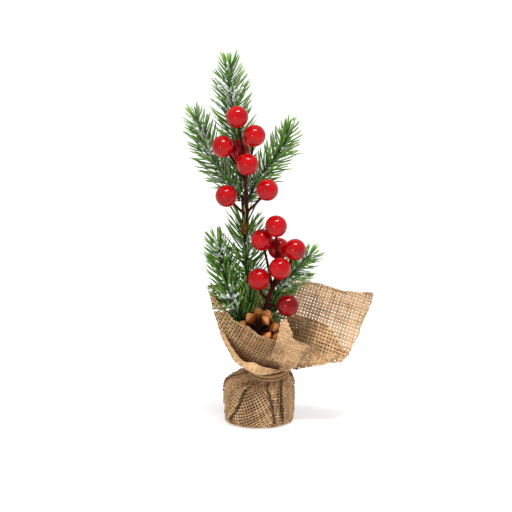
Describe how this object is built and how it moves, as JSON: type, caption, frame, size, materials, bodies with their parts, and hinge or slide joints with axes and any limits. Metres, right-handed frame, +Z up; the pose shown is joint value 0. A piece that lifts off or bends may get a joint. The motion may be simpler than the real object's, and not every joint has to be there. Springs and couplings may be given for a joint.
{
  "type": "artificial tabletop tree",
  "caption": "Small artificial pine arrangement with red berry picks and a pine cone, in a weighted base wrapped in burlap and tied with twine.",
  "frame": {"origin": "centre of the flat underside of the wrapped base", "axes": "+Z up along the tree; -Y towards the front, where the berries and the cone are; +X to the right seen from the front, towards the long corner of the burlap collar"},
  "size_m": [0.1259, 0.0651, 0.2526],
  "materials": {
    "burlap": "open plain weave of natural jute, matt",
    "twine": "twisted jute, hairy, matt",
    "plaster": "cast plaster, matt",
    "glue": "clear yellowish hot-melt glue",
    "bark_wrap": "steel wire wrapped in brown plastic strip",
    "floral_tape": "waxy crepe tape",
    "needles": "soft PE needles, frosted white towards the tips",
    "berry": "glossy red lacquer over foam",
    "berry_stem": "dark maroon plastic-coated wire",
    "cone": "natural pine cone, lacquered scales",
    "steel_wire": "thin galvanised binding wire"
  },
  "bodies": {
    "base": {"base_block": "plaster", "burlap_wrap": "burlap", "twine_tie": "twine", "twine_knot": "twine", "glue_plug": "glue", "trunk_wire": "bark_wrap", "binding_wire": "steel_wire", "tape_sleeve": "floral_tape", "upper_pick_foot": "berry_stem", "lower_pick_foot": "berry_stem", "middle_needles": "needles", "pine_cone": "cone", "cone_wire": "steel_wire"},
    "leader_sprig": {"leader_needles": "needles", "leader_wire": "bark_wrap"},
    "upper_left_sprig": {"upper_left_needles": "needles", "upper_left_wire": "bark_wrap"},
    "upper_right_sprig": {"upper_right_needles": "needles", "upper_right_wire": "bark_wrap"},
    "lower_left_sprig": {"lower_left_needles": "needles", "lower_left_wire": "bark_wrap"},
    "lower_right_sprig": {"lower_right_needles": "needles", "lower_right_wire": "bark_wrap"},
    "upper_pick": {"upper_pick_stem": "berry_stem", "upper_pick_wire_1": "berry_stem", "upper_pick_wire_2": "berry_stem", "upper_pick_wire_3": "berry_stem", "upper_pick_wire_4": "berry_stem", "upper_pick_wire_5": "berry_stem", "upper_pick_wire_6": "berry_stem", "upper_pick_wire_7": "berry_stem", "upper_pick_berry_1": "berry", "upper_pick_berry_2": "berry", "upper_pick_berry_3": "berry", "upper_pick_berry_4": "berry", "upper_pick_berry_5": "berry", "upper_pick_berry_6": "berry", "upper_pick_berry_7": "berry"},
    "lower_pick": {"lower_pick_stem": "berry_stem", "lower_pick_wire_1": "berry_stem", "lower_pick_wire_2": "berry_stem", "lower_pick_wire_3": "berry_stem", "lower_pick_wire_4": "berry_stem", "lower_pick_wire_5": "berry_stem", "lower_pick_wire_6": "berry_stem", "lower_pick_wire_7": "berry_stem", "lower_pick_berry_1": "berry", "lower_pick_berry_2": "berry", "lower_pick_berry_3": "berry", "lower_pick_berry_4": "berry", "lower_pick_berry_5": "berry", "lower_pick_berry_6": "berry", "lower_pick_berry_7": "berry"}
  },
  "joints": [
    {"name": "leader_bend", "type": "hinge", "parent": "base", "child": "leader_sprig", "pos_m": [-0.011, 0.002, 0.157], "axis": [-1, 0, 0], "range_deg": [0, 30]},
    {"name": "upper_left_bend", "type": "hinge", "parent": "base", "child": "upper_left_sprig", "pos_m": [-0.0126, 0.002, 0.1486], "axis": [0, -1, 0], "range_deg": [0, 30]},
    {"name": "upper_right_bend", "type": "hinge", "parent": "base", "child": "upper_right_sprig", "pos_m": [-0.0082, 0.002, 0.1466], "axis": [0, 1, 0], "range_deg": [0, 30]},
    {"name": "lower_left_bend", "type": "hinge", "parent": "base", "child": "lower_left_sprig", "pos_m": [-0.0036, 0, 0.0606], "axis": [1, 0, 0], "range_deg": [0, 12]},
    {"name": "lower_right_bend", "type": "hinge", "parent": "base", "child": "lower_right_sprig", "pos_m": [0.0012, 0.002, 0.0596], "axis": [0, 1, 0], "range_deg": [0, 20]},
    {"name": "upper_pick_bend", "type": "hinge", "parent": "base", "child": "upper_pick", "pos_m": [-0.0088, -0.0034, 0.136], "axis": [1, 0, 0], "range_deg": [0, 25]},
    {"name": "lower_pick_bend", "type": "hinge", "parent": "base", "child": "lower_pick", "pos_m": [0.0043, -0.008, 0.0786], "axis": [1, 0, 0], "range_deg": [0, 20]}
  ]
}
